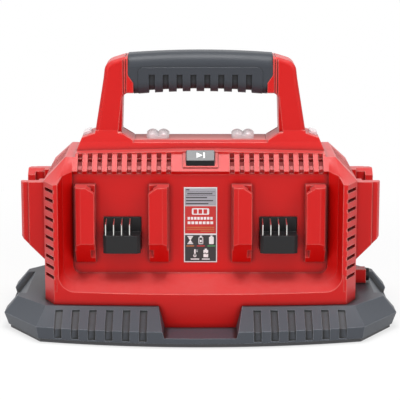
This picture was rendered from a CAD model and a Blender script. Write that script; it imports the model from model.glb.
import math

import bmesh
import bpy
from mathutils import Matrix, Vector


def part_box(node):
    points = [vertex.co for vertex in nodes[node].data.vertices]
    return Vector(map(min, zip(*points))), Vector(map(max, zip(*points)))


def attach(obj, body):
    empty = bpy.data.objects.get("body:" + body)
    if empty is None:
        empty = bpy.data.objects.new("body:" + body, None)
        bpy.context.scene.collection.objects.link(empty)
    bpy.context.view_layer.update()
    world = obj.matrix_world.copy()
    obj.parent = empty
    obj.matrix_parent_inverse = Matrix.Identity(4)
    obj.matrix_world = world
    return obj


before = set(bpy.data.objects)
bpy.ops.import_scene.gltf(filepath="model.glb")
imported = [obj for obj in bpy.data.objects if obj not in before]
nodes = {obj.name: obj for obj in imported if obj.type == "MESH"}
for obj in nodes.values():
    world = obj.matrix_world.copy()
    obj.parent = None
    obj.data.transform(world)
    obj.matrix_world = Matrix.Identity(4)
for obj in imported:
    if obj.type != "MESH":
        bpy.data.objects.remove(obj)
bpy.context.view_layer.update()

# Six-bay battery charger: finishes, small trim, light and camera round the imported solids.
# Metres, in the frame of the solids: X right, Y to the rear, Z up, origin under the middle.

scene = bpy.context.scene
MM = 0.001

BAYS = ("front_left", "front_right", "rear_left", "rear_right", "side_left", "side_right")


# Shader groups, each built once; scales are in cells per metre

EDGE_GAIN = 5.0
GRAIN_SCALE = 2600.0
DRIFT_SCALE = 22.0
DUST_STEEPNESS = 1.5
DUST_SPECKLE = 0.35
DUST_LEAST = 0.32
BRUSH_STRETCH = 0.04


def new_group(name, inputs, outputs):
    """An empty node group. Inputs are (name, socket type, value); outputs are (name, socket type)."""
    group = bpy.data.node_groups.new(name, "ShaderNodeTree")
    for label, kind, value in inputs:
        socket = group.interface.new_socket(name=label, in_out="INPUT", socket_type=kind)
        socket.default_value = value
    for label, kind in outputs:
        group.interface.new_socket(name=label, in_out="OUTPUT", socket_type=kind)
    entry = group.nodes.new("NodeGroupInput")
    leave = group.nodes.new("NodeGroupOutput")
    return group, entry, leave


def add(tree, kind, **settings):
    """A new node with its properties set; keys that name a socket set that input's value."""
    node = tree.nodes.new(kind)
    for key, value in settings.items():
        if hasattr(node, key):
            setattr(node, key, value)
        else:
            node.inputs[key].default_value = value
    return node


def wire(tree, start, end):
    tree.links.new(start, end)


def math_node(tree, operation, first, second, clamp=False):
    """A maths node fed by sockets or plain numbers; returns its output."""
    node = add(tree, "ShaderNodeMath", operation=operation, use_clamp=clamp)
    for slot, value in enumerate((first, second)):
        if isinstance(value, (int, float)):
            node.inputs[slot].default_value = value
        else:
            wire(tree, value, node.inputs[slot])
    return node.outputs[0]


def noise(tree, coordinates, scale, detail):
    """Fractal noise on object coordinates; scale is a socket that gives cells per metre."""
    node = add(tree, "ShaderNodeTexNoise", Detail=detail)
    wire(tree, coordinates, node.inputs["Vector"])
    wire(tree, scale, node.inputs["Scale"])
    return node.outputs["Fac"]


def build_rounded_edges():
    """Rounds the shading of an edge over a radius, and gives a mask of where edges are."""
    group, entry, leave = new_group(
        "rounded_edges",
        [("Radius", "NodeSocketFloat", 0.6 * MM)],
        [("Normal", "NodeSocketVector"), ("Edge", "NodeSocketFloat")],
    )
    bevel = add(group, "ShaderNodeBevel", samples=4)
    wire(group, entry.outputs["Radius"], bevel.inputs["Radius"])
    surface = add(group, "ShaderNodeNewGeometry")
    dot = add(group, "ShaderNodeVectorMath", operation="DOT_PRODUCT")
    wire(group, bevel.outputs["Normal"], dot.inputs[0])
    wire(group, surface.outputs["Normal"], dot.inputs[1])
    turned = math_node(group, "SUBTRACT", 1.0, dot.outputs["Value"])
    mask = math_node(group, "MULTIPLY", turned, EDGE_GAIN, clamp=True)
    wire(group, bevel.outputs["Normal"], leave.inputs["Normal"])
    wire(group, mask, leave.inputs["Edge"])
    return group


def build_fine_grain():
    """Moulded grain: a fine texture height and a slow drift of tone."""
    group, entry, leave = new_group(
        "fine_grain",
        [("Grain Scale", "NodeSocketFloat", GRAIN_SCALE),
         ("Drift Scale", "NodeSocketFloat", DRIFT_SCALE)],
        [("Height", "NodeSocketFloat"), ("Drift", "NodeSocketFloat")],
    )
    place = add(group, "ShaderNodeTexCoord")
    fine = noise(group, place.outputs["Object"], entry.outputs["Grain Scale"], detail=2.0)
    slow = noise(group, place.outputs["Object"], entry.outputs["Drift Scale"], detail=3.0)
    wire(group, fine, leave.inputs["Height"])
    wire(group, slow, leave.inputs["Drift"])
    return group


def build_settled_dust():
    """A mask of dust that lies on faces that look up."""
    group, entry, leave = new_group(
        "settled_dust",
        [("Amount", "NodeSocketFloat", 0.3), ("Speckle Scale", "NodeSocketFloat", 160.0)],
        [("Mask", "NodeSocketFloat")],
    )
    surface = add(group, "ShaderNodeNewGeometry")
    split = add(group, "ShaderNodeSeparateXYZ")
    wire(group, surface.outputs["Normal"], split.inputs[0])
    upward = math_node(group, "MAXIMUM", split.outputs["Z"], 0.0)
    facing = math_node(group, "POWER", upward, DUST_STEEPNESS)
    place = add(group, "ShaderNodeTexCoord")
    speckle = noise(group, place.outputs["Object"], entry.outputs["Speckle Scale"], detail=4.0)
    uneven = math_node(group, "MULTIPLY", speckle, DUST_SPECKLE)
    spread = math_node(group, "ADD", uneven, DUST_LEAST)
    patchy = math_node(group, "MULTIPLY", facing, spread)
    amount = math_node(group, "MULTIPLY", patchy, entry.outputs["Amount"], clamp=True)
    wire(group, amount, leave.inputs["Mask"])
    return group


def build_brushed_lines():
    """Fine drawn lines along one direction of a metal part."""
    group, entry, leave = new_group(
        "brushed_lines",
        [("Line Scale", "NodeSocketFloat", 900.0)],
        [("Height", "NodeSocketFloat")],
    )
    place = add(group, "ShaderNodeTexCoord")
    stretch = add(group, "ShaderNodeMapping")
    stretch.inputs["Scale"].default_value = (1.0, 1.0, BRUSH_STRETCH)
    wire(group, place.outputs["Object"], stretch.inputs["Vector"])
    lines = noise(group, stretch.outputs["Vector"], entry.outputs["Line Scale"], detail=2.0)
    wire(group, lines, leave.inputs["Height"])
    return group


def build_crevices():
    """A mask of grooves and inner corners, where grime gathers and light is short."""
    group, entry, leave = new_group(
        "crevices",
        [("Reach", "NodeSocketFloat", 3 * MM), ("Amount", "NodeSocketFloat", 1.5)],
        [("Mask", "NodeSocketFloat")],
    )
    shade = add(group, "ShaderNodeAmbientOcclusion", samples=6)
    wire(group, entry.outputs["Reach"], shade.inputs["Distance"])
    closed = math_node(group, "SUBTRACT", 1.0, shade.outputs["AO"])
    amount = math_node(group, "MULTIPLY", closed, entry.outputs["Amount"], clamp=True)
    wire(group, amount, leave.inputs["Mask"])
    return group


ROUNDED_EDGES = build_rounded_edges()
CREVICES = build_crevices()
FINE_GRAIN = build_fine_grain()
SETTLED_DUST = build_settled_dust()
BRUSHED_LINES = build_brushed_lines()


def place_group(tree, group, **values):
    node = tree.nodes.new("ShaderNodeGroup")
    node.node_tree = group
    for label, value in values.items():
        node.inputs[label.replace("_", " ")].default_value = value
    return node


def mix_colour(tree, factor, first, second):
    """Mix two colours by a mask socket; each colour is a value or a socket."""
    node = add(tree, "ShaderNodeMix", data_type="RGBA")
    wire(tree, factor, node.inputs[0])
    for slot, colour in ((6, first), (7, second)):
        if isinstance(colour, tuple):
            node.inputs[slot].default_value = (*colour, 1.0)
        else:
            wire(tree, colour, node.inputs[slot])
    return node.outputs[2]


def shifted(colour, factor):
    return tuple(min(1.0, channel * factor) for channel in colour)


# Materials

COAT_ROUGHNESS = 0.2
GROOVE_REACH = 5 * MM
DUST_COLOUR = (0.62, 0.55, 0.54)
WEAR_STRENGTH = 1.6
ROUGHNESS_SPREAD = 0.12
METAL_ROUGHNESS_SPREAD = 0.2
METAL_TONES = (0.86, 1.1, 1.3)  # dark lines, bright lines, worn edges
LENS_GRAIN = 420.0
LENS_DRIFT = 90.0
LENS_DARK_TONE = 0.94
LENS_ROUGHNESS_SPREAD = 0.1
LENS_SKIN_DEPTH = 0.03 * MM
CLEAR_PLASTIC_IOR = 1.46


def new_material(name):
    """A material with nodes; gives the material, its tree and its main shader."""
    material = bpy.data.materials.new(name)
    material.use_nodes = True
    tree = material.node_tree
    return material, tree, tree.nodes["Principled BSDF"]


def vary_roughness(tree, shader, pattern, least, spread):
    """Roughness that follows a pattern, from a least value up."""
    uneven = math_node(tree, "MULTIPLY", pattern, spread)
    rough = math_node(tree, "ADD", uneven, least)
    wire(tree, rough, shader.inputs["Roughness"])


def add_relief(tree, shader, height, depth, normal=None):
    """Fine relief on the shader's normal, over a given normal or the plain one."""
    bump = add(tree, "ShaderNodeBump", Distance=depth, Strength=1.0)
    wire(tree, height, bump.inputs["Height"])
    if normal is not None:
        wire(tree, normal, bump.inputs["Normal"])
    wire(tree, bump.outputs["Normal"], shader.inputs["Normal"])


def moulded(name, colour, roughness, edge_tone=1.25, radius=0.6 * MM, grain=GRAIN_SCALE,
            depth=0.02 * MM, dust=0.0, coat=0.0, specular=0.5, drift=0.08, grime=0.0,
            groove_tone=0.06, edge_colour=None):
    """Moulded plastic or rubber: grain, tone drift, lighter edges, darker grooves and dust."""
    material, tree, shader = new_material(name)
    shader.inputs["Specular IOR Level"].default_value = specular
    shader.inputs["Coat Weight"].default_value = coat
    shader.inputs["Coat Roughness"].default_value = COAT_ROUGHNESS
    edges = place_group(tree, ROUNDED_EDGES, Radius=radius)
    texture = place_group(tree, FINE_GRAIN, Grain_Scale=grain)
    darker, lighter = shifted(colour, 1 - drift), shifted(colour, 1 + drift)
    base = mix_colour(tree, texture.outputs["Drift"], darker, lighter)
    patchy = math_node(tree, "MULTIPLY", texture.outputs["Drift"], WEAR_STRENGTH, clamp=True)
    worn = math_node(tree, "MULTIPLY", edges.outputs["Edge"], patchy)
    surface = mix_colour(tree, worn, base, edge_colour or shifted(colour, edge_tone))
    if grime:
        grooves = place_group(tree, CREVICES, Reach=GROOVE_REACH, Amount=grime)
        surface = mix_colour(tree, grooves.outputs["Mask"], surface, shifted(colour, groove_tone))
    if dust:
        film = place_group(tree, SETTLED_DUST, Amount=dust)
        surface = mix_colour(tree, film.outputs["Mask"], surface, DUST_COLOUR)
    wire(tree, surface, shader.inputs["Base Color"])
    least = roughness - ROUGHNESS_SPREAD / 2
    vary_roughness(tree, shader, texture.outputs["Drift"], least, ROUGHNESS_SPREAD)
    add_relief(tree, shader, texture.outputs["Height"], depth, edges.outputs["Normal"])
    return material


def drawn_metal(name, colour, roughness, radius=0.2 * MM, depth=0.008 * MM):
    """Plated or extruded metal with drawn lines and brighter edges."""
    material, tree, shader = new_material(name)
    shader.inputs["Metallic"].default_value = 1.0
    edges = place_group(tree, ROUNDED_EDGES, Radius=radius)
    lines = place_group(tree, BRUSHED_LINES)
    line_dark, line_bright, worn_edge = (shifted(colour, tone) for tone in METAL_TONES)
    surface = mix_colour(tree, lines.outputs["Height"], line_dark, line_bright)
    surface = mix_colour(tree, edges.outputs["Edge"], surface, worn_edge)
    wire(tree, surface, shader.inputs["Base Color"])
    least = roughness - METAL_ROUGHNESS_SPREAD / 2
    vary_roughness(tree, shader, lines.outputs["Height"], least, METAL_ROUGHNESS_SPREAD)
    add_relief(tree, shader, lines.outputs["Height"], depth, edges.outputs["Normal"])
    return material


def clear_plastic(name, colour, roughness, transmission):
    """Clear moulding with a faint uneven skin."""
    material, tree, shader = new_material(name)
    shader.inputs["Transmission Weight"].default_value = transmission
    shader.inputs["IOR"].default_value = CLEAR_PLASTIC_IOR
    texture = place_group(tree, FINE_GRAIN, Grain_Scale=LENS_GRAIN, Drift_Scale=LENS_DRIFT)
    tint = mix_colour(tree, texture.outputs["Drift"], shifted(colour, LENS_DARK_TONE), colour)
    wire(tree, tint, shader.inputs["Base Color"])
    vary_roughness(tree, shader, texture.outputs["Drift"], roughness, LENS_ROUGHNESS_SPREAD)
    add_relief(tree, shader, texture.outputs["Height"], LENS_SKIN_DEPTH)
    return material


RED = (0.57, 0.004, 0.003)
RUBBER = (0.040, 0.047, 0.060)
BLACK = (0.011, 0.011, 0.012)

red_housing = moulded(
    "red_housing", RED, 0.36, radius=1.3 * MM, specular=0.28, drift=0.03, dust=0.2,
    grime=1.8, groove_tone=0.42, edge_colour=(0.86, 0.26, 0.23))
baffle_plastic = moulded("baffle_plastic", shifted(RED, 0.4), 0.5, specular=0.2)
bumper_rubber = moulded(
    "bumper_rubber", RUBBER, 0.46, radius=0.8 * MM, grain=950.0, depth=0.14 * MM,
    grime=8.0, edge_colour=(0.30, 0.32, 0.36))
grip_rubber = moulded(
    "grip_rubber", shifted(RUBBER, 0.7), 0.46, edge_tone=2.6, radius=0.9 * MM,
    grain=1800.0, depth=0.04 * MM, specular=0.4, grime=2.0)
base_plastic = moulded("base_plastic", (0.04, 0.04, 0.044), 0.5)
black_plastic = moulded("black_plastic", BLACK, 0.42, edge_tone=4.0, specular=0.3)
panel_plastic = moulded(
    "panel_plastic", (0.62, 0.18, 0.165), 0.5, specular=0.3, edge_colour=(0.70, 0.10, 0.09))
button_plastic = moulded(
    "button_plastic", (0.006, 0.006, 0.007), 0.36, edge_tone=8.0, radius=0.8 * MM, specular=0.25)
button_face = moulded(
    "button_face", (0.042, 0.042, 0.046), 0.32, edge_tone=1.8, radius=0.8 * MM)
label_film = moulded("label_film", (0.74, 0.74, 0.75), 0.4, edge_tone=1.05, depth=0.004 * MM)
circuit_green = moulded("circuit_green", (0.02, 0.14, 0.06), 0.3, grain=900.0, coat=0.4)
lead_sleeve = moulded("lead_sleeve", (0.35, 0.02, 0.02), 0.45)
copper_wire = drawn_metal("copper_wire", (0.52, 0.24, 0.11), 0.35)
plated_contact = drawn_metal("plated_contact", (0.80, 0.79, 0.76), 0.28)
plated_steel = drawn_metal("plated_steel", (0.58, 0.58, 0.60), 0.35)
lamination = moulded("lamination", (0.09, 0.09, 0.10), 0.4, grain=3000.0)
can_sleeve = moulded("can_sleeve", (0.03, 0.05, 0.10), 0.3, coat=0.2)
extruded_aluminium = drawn_metal("extruded_aluminium", (0.72, 0.72, 0.74), 0.4)
clear_lens = clear_plastic("clear_lens", (0.96, 0.84, 0.86), 0.03, 0.35)
fuse_glass = clear_plastic("fuse_glass", (0.90, 0.93, 0.93), 0.03, 0.9)
light_body = moulded("light_body", (0.62, 0.66, 0.62), 0.25)


def print_ink(name, colour, roughness=0.38):
    """A printed colour: smooth, and no lighter at its edges."""
    return moulded(name, colour, roughness, edge_tone=1.0, depth=0.003 * MM)


silver_print = print_ink("silver_print", (0.36, 0.36, 0.40), 0.34)
white_print = print_ink("white_print", (0.80, 0.80, 0.81), 0.4)
red_print = print_ink("red_print", (0.52, 0.016, 0.014))
dark_print = print_ink("dark_print", (0.025, 0.022, 0.024))
amber_print = print_ink("amber_print", (0.50, 0.16, 0.04))
green_print = print_ink("green_print", (0.06, 0.32, 0.10))

NODE_FINISHES = {
    red_housing: ["front_shell", "rear_shell", "handle_front_half", "handle_rear_half"],
    bumper_rubber: ["bumper"],
    grip_rubber: ["handle_grip", "rubber_feet"],
    base_plastic: ["base_plate"],
    black_plastic: ["cord_gland", "tact_switch"] + [f"terminal_block_{bay}" for bay in BAYS],
    plated_contact: [f"contact_blades_{bay}" for bay in BAYS],
    panel_plastic: ["light_panel"],
    button_plastic: ["skip_button"],
    label_film: ["front_label"],
    circuit_green: ["main_board", "display_board", "switch_board"],
    lead_sleeve: ["battery_leads"],
    copper_wire: ["transformer_windings"],
    plated_steel: ["base_screws", "deck_screws", "handle_screws", "board_screws"],
    lamination: ["transformer_core"],
    can_sleeve: ["bulk_capacitors"],
    extruded_aluminium: ["heat_sinks"],
    clear_lens: ["status_lens_left", "status_lens_right", "side_lens_left", "side_lens_right"],
    fuse_glass: ["mains_fuse"],
    light_body: ["status_lights"],
}

for finish, members in NODE_FINISHES.items():
    for member in members:
        mesh = nodes[member].data
        mesh.materials.clear()
        mesh.materials.append(finish)


BUTTON_FACE_RISE = 0.5


def face_finish(node, finish, least_rise):
    """Gives one finish to the faces of a node whose normals rise more than a share of 1."""
    mesh = nodes[node].data
    mesh.materials.append(finish)
    turn = nodes[node].matrix_world.to_3x3()
    for polygon in mesh.polygons:
        if (turn @ polygon.normal).normalized().z > least_rise:
            polygon.material_index = len(mesh.materials) - 1


face_finish("skip_button", button_face, BUTTON_FACE_RISE)


# Small trim

ARC_STEPS = 2


def finished(name, mesh, material, body="charger"):
    """Link a piece, give it its finish and make it ride."""
    piece = bpy.data.objects.new(name, mesh)
    scene.collection.objects.link(piece)
    mesh.materials.append(material)
    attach(piece, body)


def plate_mesh(name, outlines, thickness, place):
    """Flat plates from (x, y) outlines, raised along their normal, set by a matrix.

    The matrix may mirror them, so the faces are turned outward after it.
    """
    build = bmesh.new()
    for outline in outlines:
        corners = [build.verts.new((x, y, 0.0)) for x, y in outline]
        face = build.faces.new(corners)
        face.normal_update()
        if face.normal.z < 0:
            face.normal_flip()
        raised = bmesh.ops.extrude_face_region(build, geom=[face])
        lifted = [item for item in raised["geom"] if isinstance(item, bmesh.types.BMVert)]
        bmesh.ops.translate(build, verts=lifted, vec=(0.0, 0.0, thickness))
    build.transform(place)
    build.normal_update()
    bmesh.ops.recalc_face_normals(build, faces=build.faces)
    mesh = bpy.data.meshes.new(name)
    build.to_mesh(mesh)
    build.free()
    return mesh


def rounded_rectangle(x_from, x_to, y_from, y_to, radius):
    """A rectangle's outline with corner arcs, counter-clockwise."""
    points = []
    centres = (
        (x_to - radius, y_from + radius, -90),
        (x_to - radius, y_to - radius, 0),
        (x_from + radius, y_to - radius, 90),
        (x_from + radius, y_from + radius, 180),
    )
    for x, y, start in centres:
        for step in range(ARC_STEPS + 1):
            angle = math.radians(start + 90 * step / ARC_STEPS)
            points.append((x + radius * math.cos(angle), y + radius * math.sin(angle)))
    return points


def upright_place(y):
    """Stands a flat plate up, facing the front, at a depth; its x and y become X and Z."""
    return Matrix.Translation((0.0, y, 0.0)) @ Matrix.Rotation(math.radians(90), 4, "X")


# Label prints: bands, plain rules and charge signs on the front label

PRINT_THICKNESS = 0.05 * MM
LABEL_MARGIN = 0.03
DASH_FILL = 0.76
label_low, label_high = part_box("front_label")


def across(share):
    """X of a place on the label, given as a share of its width from the left."""
    return label_low.x + share * (label_high.x - label_low.x)


def up(share):
    """Z of a place on the label, given as a share of its height from below."""
    return label_low.z + share * (label_high.z - label_low.z)


def bar(left, right, low, high, radius=0.3 * MM):
    """A rounded bar given in shares of the label's width and height."""
    return rounded_rectangle(across(left), across(right), up(low), up(high), radius)


def dashes(left, right, low, high, count):
    """A broken rule: short bars of one length with narrow gaps."""
    pitch = (right - left) / count
    starts = [left + pitch * step for step in range(count)]
    return [bar(start, start + pitch * DASH_FILL, low, high, 0.15 * MM) for start in starts]


def print_on_label(name, outlines, material, layer=1):
    """A print on the label's front; each layer lies on the one below it."""
    place = upright_place(label_low.y - (layer - 1) * PRINT_THICKNESS)
    mesh = plate_mesh(name, outlines, PRINT_THICKNESS, place)
    finished(name, mesh, material)


inner, outer = LABEL_MARGIN, 1 - LABEL_MARGIN
print_on_label("label_silver_band", [bar(inner, outer, 0.757, 0.986)], silver_print)
print_on_label("label_red_band", [bar(inner, outer, 0.386, 0.750)], red_print)
print_on_label("label_dark_band", [bar(inner, outer, 0.014, 0.366)], dark_print)
print_on_label("label_dark_rules", [
    bar(0.06, 0.17, 0.960, 0.974),
    bar(0.06, 0.94, 0.938, 0.942),
    bar(0.10, 0.86, 0.908, 0.922),
    bar(0.06, 0.94, 0.890, 0.894),
    bar(0.06, 0.70, 0.856, 0.870),
    bar(0.06, 0.88, 0.816, 0.830),
    bar(0.06, 0.74, 0.776, 0.790),
], dark_print, layer=2)
badge = bar(0.24, 0.76, 0.636, 0.722, 0.9 * MM)
print_on_label("label_battery_badge", [badge], white_print, layer=2)
charge_bars = [bar(left, left + 0.11, 0.650, 0.708) for left in (0.29, 0.44, 0.59)]
print_on_label("label_badge_charge", charge_bars, red_print, layer=3)
print_on_label(
    "label_white_rules",
    dashes(0.11, 0.89, 0.570, 0.606, 8) + dashes(0.11, 0.91, 0.510, 0.546, 7),
    white_print, layer=2)
print_on_label("label_fine_rules", [
    bar(0.08, 0.92, 0.462, 0.474),
    bar(0.08, 0.92, 0.436, 0.448),
    bar(0.50, 0.92, 0.410, 0.422),
], amber_print, layer=2)


def box_outline(x, z, half_x, half_z, radius=0.3 * MM):
    """A rounded bar given by its middle and half sizes, in metres."""
    return rounded_rectangle(x - half_x, x + half_x, z - half_z, z + half_z, radius)


# The signs below are drawn in shares of their own half width and half height


def hourglass_sign(x, z, half_x, half_z):
    """A waiting sign: two triangles between two bars."""
    bar_half = 0.12 * half_z
    waist = 0.12 * half_x
    top, low = z + half_z - 2.6 * bar_half, z - half_z + 2.6 * bar_half
    return [
        box_outline(x, z + half_z - bar_half, half_x, bar_half, 0.1 * MM),
        box_outline(x, z - half_z + bar_half, half_x, bar_half, 0.1 * MM),
        [(x - waist, z), (x + waist, z), (x + 0.8 * half_x, top), (x - 0.8 * half_x, top)],
        [(x - 0.8 * half_x, low), (x + 0.8 * half_x, low), (x + waist, z), (x - waist, z)],
    ]


BATTERY_SIDE = 0.85  # half width of a battery's body, as a share of its sign's


def battery_cap(x, z, half_x, half_z):
    """The small terminal on top of a battery sign."""
    return box_outline(x, z + half_z, 0.4 * half_x, 0.16 * half_z, 0.15 * MM)


def full_battery_sign(x, z, half_x, half_z):
    """A solid battery body with its cap."""
    body = box_outline(x, z - 0.1 * half_z, BATTERY_SIDE * half_x, 0.9 * half_z, 0.5 * MM)
    return [body, battery_cap(x, z - 0.04 * half_z, half_x, half_z)]


def charging_battery_sign(x, z, half_x, half_z):
    """A battery drawn by its walls, part full."""
    wall = 0.16 * half_x
    side = BATTERY_SIDE * half_x
    return [
        box_outline(x - side + wall, z - 0.1 * half_z, wall, 0.86 * half_z, 0.1 * MM),
        box_outline(x + side - wall, z - 0.1 * half_z, wall, 0.86 * half_z, 0.1 * MM),
        box_outline(x, z - half_z + wall, side, wall, 0.1 * MM),
        box_outline(x, z + 0.76 * half_z - wall, side, wall, 0.1 * MM),
        box_outline(x, z - 0.25 * half_z, 0.32 * half_x, 0.28 * half_z, 0.2 * MM),
        battery_cap(x, z - 0.08 * half_z, half_x, half_z),
    ]


def thermometer_sign(x, z, half_x, half_z):
    """A bulb and a stem, with two marks beside it."""
    bulb = 0.62 * half_x
    return [
        box_outline(x, z - half_z + bulb, bulb, bulb, 0.98 * bulb),
        box_outline(x, z + 0.15 * half_z, 0.28 * half_x, 0.85 * half_z, 0.25 * half_x),
        box_outline(x + 0.75 * half_x, z + 0.75 * half_z, 0.25 * half_x, 0.07 * half_z, 0.05 * MM),
        box_outline(x + 0.75 * half_x, z + 0.40 * half_z, 0.25 * half_x, 0.07 * half_z, 0.05 * MM),
    ]


def faulty_battery_sign(x, z, half_x, half_z):
    """A battery split by a jagged gap."""
    side = BATTERY_SIDE * half_x
    low, high = z - half_z, z + 0.8 * half_z
    gap = 0.12 * half_z
    return [
        [(x - side, low), (x + side, low), (x + side, z - gap), (x + 0.2 * side, z - 2.6 * gap),
         (x - 0.2 * side, z - 0.4 * gap), (x - side, z - 2.2 * gap)],
        [(x - side, z - 0.2 * gap), (x - 0.2 * side, z + 1.6 * gap), (x + 0.2 * side, z - 0.6 * gap),
         (x + side, z + gap), (x + side, high), (x - side, high)],
        battery_cap(x, z - 0.04 * half_z, half_x, half_z),
    ]


SIGN_HALF_X = 2.5 * MM
SIGN_HALF_Z = 3.7 * MM
UPPER_ROW = 0.298
LOWER_ROW = 0.122
sign_shapes = []
for make_sign, x_share, z_share in (
    (hourglass_sign, 0.19, UPPER_ROW),
    (charging_battery_sign, 0.51, UPPER_ROW),
    (full_battery_sign, 0.83, UPPER_ROW),
    (thermometer_sign, 0.33, LOWER_ROW),
    (faulty_battery_sign, 0.66, LOWER_ROW),
):
    sign_shapes += make_sign(across(x_share), up(z_share), SIGN_HALF_X, SIGN_HALF_Z)
sign_shapes += [bar(0.20, 0.46, 0.036, 0.050), bar(0.54, 0.78, 0.036, 0.050)]
print_on_label("label_charge_signs", sign_shapes, white_print, layer=2)
for colour_name, left, ink in (
    ("amber", 0.07, amber_print),
    ("red", 0.39, red_print),
    ("green", 0.71, green_print),
):
    rule = bar(left, left + 0.24, 0.212, 0.226)
    print_on_label(f"label_{colour_name}_rule", [rule], ink, layer=2)


# Vent baffles: a thin plate behind the row of slots in each long shoulder

VENT_ROW = (24.5 * MM, 108.5 * MM)
SHOULDER_APEX = 194.8 * MM  # height where the planes of the two shoulders would meet
BAFFLE_FOOT = 48.8 * MM
BAFFLE_HEAD = 41.0 * MM
BAFFLE_DEPTH = 3.6 * MM
BAFFLE_THICKNESS = 0.6 * MM


def slope_place(middle, side):
    """On a slope of 45 degrees that faces a side (-1 front, 1 rear): x stays X, y runs up it."""
    along = Vector((1.0, 0.0, 0.0))
    up_slope = Vector((0.0, -side, 1.0)).normalized()
    outward = Vector((0.0, side, 1.0)).normalized()
    turn = Matrix((along, up_slope, outward)).transposed().to_4x4()
    return Matrix.Translation(middle) @ turn


def baffle_place(side):
    """Under the sloped shoulder of a side, at the baffle's foot."""
    foot = Vector((0.0, side * BAFFLE_FOOT, SHOULDER_APEX - BAFFLE_FOOT))
    outward = Vector((0.0, side, 1.0)).normalized()
    return slope_place(foot - outward * (BAFFLE_DEPTH + BAFFLE_THICKNESS), side)


slope_length = (BAFFLE_FOOT - BAFFLE_HEAD) * math.sqrt(2)
near, far = VENT_ROW
baffle_outlines = [
    [(near, 0.0), (far, 0.0), (far, slope_length), (near, slope_length)],
    [(-far, 0.0), (-near, 0.0), (-near, slope_length), (-far, slope_length)],
]
for side, side_name in ((-1, "front"), (1, "rear")):
    name = f"vent_baffle_{side_name}"
    baffle_mesh = plate_mesh(name, baffle_outlines, BAFFLE_THICKNESS, baffle_place(side))
    finished(name, baffle_mesh, baffle_plastic)


# Skip sign: a right-pointing triangle and a bar on the button's sloped face

FACE_RISE = 8.0 * MM
SIGN_HALF_HEIGHT = 3.0 * MM
SIGN_THICKNESS = 0.12 * MM
ARROW_BACK = -3.4 * MM
ARROW_TIP = 1.9 * MM
BAR_FROM = 2.5 * MM
BAR_TO = 4.0 * MM

button_low, button_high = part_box("skip_button")
face_middle = Vector((0.0, button_low.y + FACE_RISE / 2, button_high.z - FACE_RISE / 2))
half = SIGN_HALF_HEIGHT
skip_outlines = [
    [(ARROW_BACK, -half), (ARROW_TIP, 0.0), (ARROW_BACK, half)],
    [(BAR_FROM, -half), (BAR_TO, -half), (BAR_TO, half), (BAR_FROM, half)],
]
skip_mesh = plate_mesh("skip_sign", skip_outlines, SIGN_THICKNESS, slope_place(face_middle, -1))
finished("skip_sign", skip_mesh, white_print, body="button")


# Stage, light and camera

WHITE = (1.0, 1.0, 1.0, 1.0)
PAPER = (0.86, 0.86, 0.86, 1.0)
PAPER_ROUGHNESS = 0.9
PAPER_OWN_WHITE = {"From Min": 0.15, "From Max": 0.65, "To Min": 0.7, "To Max": 1.0}
FLOOR_HALF_SIZE = 14.0
SOFT_LIGHT = 0.44


def seen_directly(tree):
    """1 for camera, mirror and glass rays, 0 for the rays that light the object."""
    path = add(tree, "ShaderNodeLightPath")
    seen = math_node(tree, "MAXIMUM", path.outputs["Is Camera Ray"], path.outputs["Is Glossy Ray"])
    return math_node(tree, "MAXIMUM", seen, path.outputs["Is Transmission Ray"])


def floor_material():
    """White paper: plain to the lamps, and more and more its own white away from the object."""
    material, tree, paper = new_material("floor_white")
    paper.inputs["Base Color"].default_value = PAPER
    paper.inputs["Roughness"].default_value = PAPER_ROUGHNESS
    paper.inputs["Specular IOR Level"].default_value = 0.0
    white = add(tree, "ShaderNodeEmission")
    place = add(tree, "ShaderNodeTexCoord")
    away = add(tree, "ShaderNodeVectorMath", operation="LENGTH")
    wire(tree, place.outputs["Object"], away.inputs[0])
    fade = add(tree, "ShaderNodeMapRange", interpolation_type="SMOOTHSTEP")
    wire(tree, away.outputs["Value"], fade.inputs["Value"])
    for label, value in PAPER_OWN_WHITE.items():
        fade.inputs[label].default_value = value
    share = math_node(tree, "MULTIPLY", seen_directly(tree), fade.outputs["Result"])
    blend = add(tree, "ShaderNodeMixShader")
    wire(tree, share, blend.inputs[0])
    wire(tree, paper.outputs[0], blend.inputs[1])
    wire(tree, white.outputs[0], blend.inputs[2])
    wire(tree, blend.outputs[0], tree.nodes["Material Output"].inputs["Surface"])
    return material


def make_floor():
    build = bmesh.new()
    bmesh.ops.create_grid(build, x_segments=1, y_segments=1, size=FLOOR_HALF_SIZE)
    mesh = bpy.data.meshes.new("floor")
    build.to_mesh(mesh)
    build.free()
    mesh.materials.append(floor_material())
    floor = bpy.data.objects.new("floor", mesh)
    scene.collection.objects.link(floor)


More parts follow.
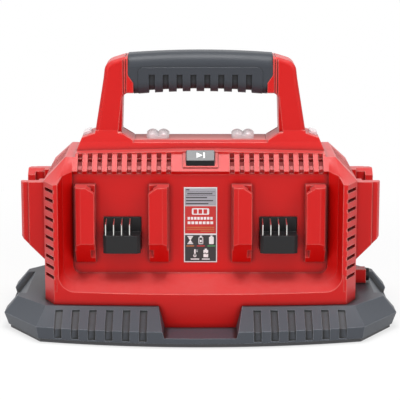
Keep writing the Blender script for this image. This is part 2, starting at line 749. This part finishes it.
def make_world():
    """White where it is looked at, and a softer grey light on the object."""
    world = bpy.data.worlds.new("studio")
    scene.world = world
    world.use_nodes = True
    tree = world.node_tree
    tree.nodes.clear()
    output = add(tree, "ShaderNodeOutputWorld")
    seen = add(tree, "ShaderNodeBackground", Color=WHITE)
    soft = add(tree, "ShaderNodeBackground", Color=WHITE, Strength=SOFT_LIGHT)
    pick = add(tree, "ShaderNodeMixShader")
    wire(tree, seen_directly(tree), pick.inputs[0])
    wire(tree, soft.outputs[0], pick.inputs[1])
    wire(tree, seen.outputs[0], pick.inputs[2])
    wire(tree, pick.outputs[0], output.inputs["Surface"])


def softbox(name, place, target, width, height, power):
    """A rectangular lamp in metres and watts, turned to its target."""
    light = bpy.data.lights.new(name, "AREA")
    light.shape = "RECTANGLE"
    light.size = width
    light.size_y = height
    light.energy = power
    lamp = bpy.data.objects.new(name, light)
    lamp.location = place
    lamp.rotation_euler = (Vector(target) - Vector(place)).to_track_quat("-Z", "Y").to_euler()
    scene.collection.objects.link(lamp)


def make_camera():
    """The photograph's view: level across, tipped down, far off with a long lens."""
    image_width = 400.0
    focal_in_pixels = 1645.0
    middle_column = 200.4
    distance = 1506.4 * MM
    aim_height = 105.7 * MM
    tip = math.radians(11.15)
    data = bpy.data.cameras.new("camera")
    data.sensor_width = 36.0
    data.lens = focal_in_pixels / image_width * data.sensor_width
    data.shift_x = (image_width / 2 - middle_column) / image_width
    camera = bpy.data.objects.new("camera", data)
    camera.location = (0.0, -distance * math.cos(tip), aim_height + distance * math.sin(tip))
    camera.rotation_euler = (math.radians(90) - tip, 0.0, 0.0)
    scene.collection.objects.link(camera)
    scene.camera = camera


make_floor()
make_world()
softbox("overhead", (0.0, -0.35, 1.5), (0.0, -0.15, 0.1), width=0.7, height=0.7, power=17.0)
for lamp_name, lamp_x in (("front_left", -1.2), ("front_right", 1.2)):
    softbox(lamp_name, (lamp_x, -1.6, 0.9), (0.0, 0.0, 0.1), width=1.0, height=1.2, power=9.5)
make_camera()
scene.view_settings.view_transform = "Standard"

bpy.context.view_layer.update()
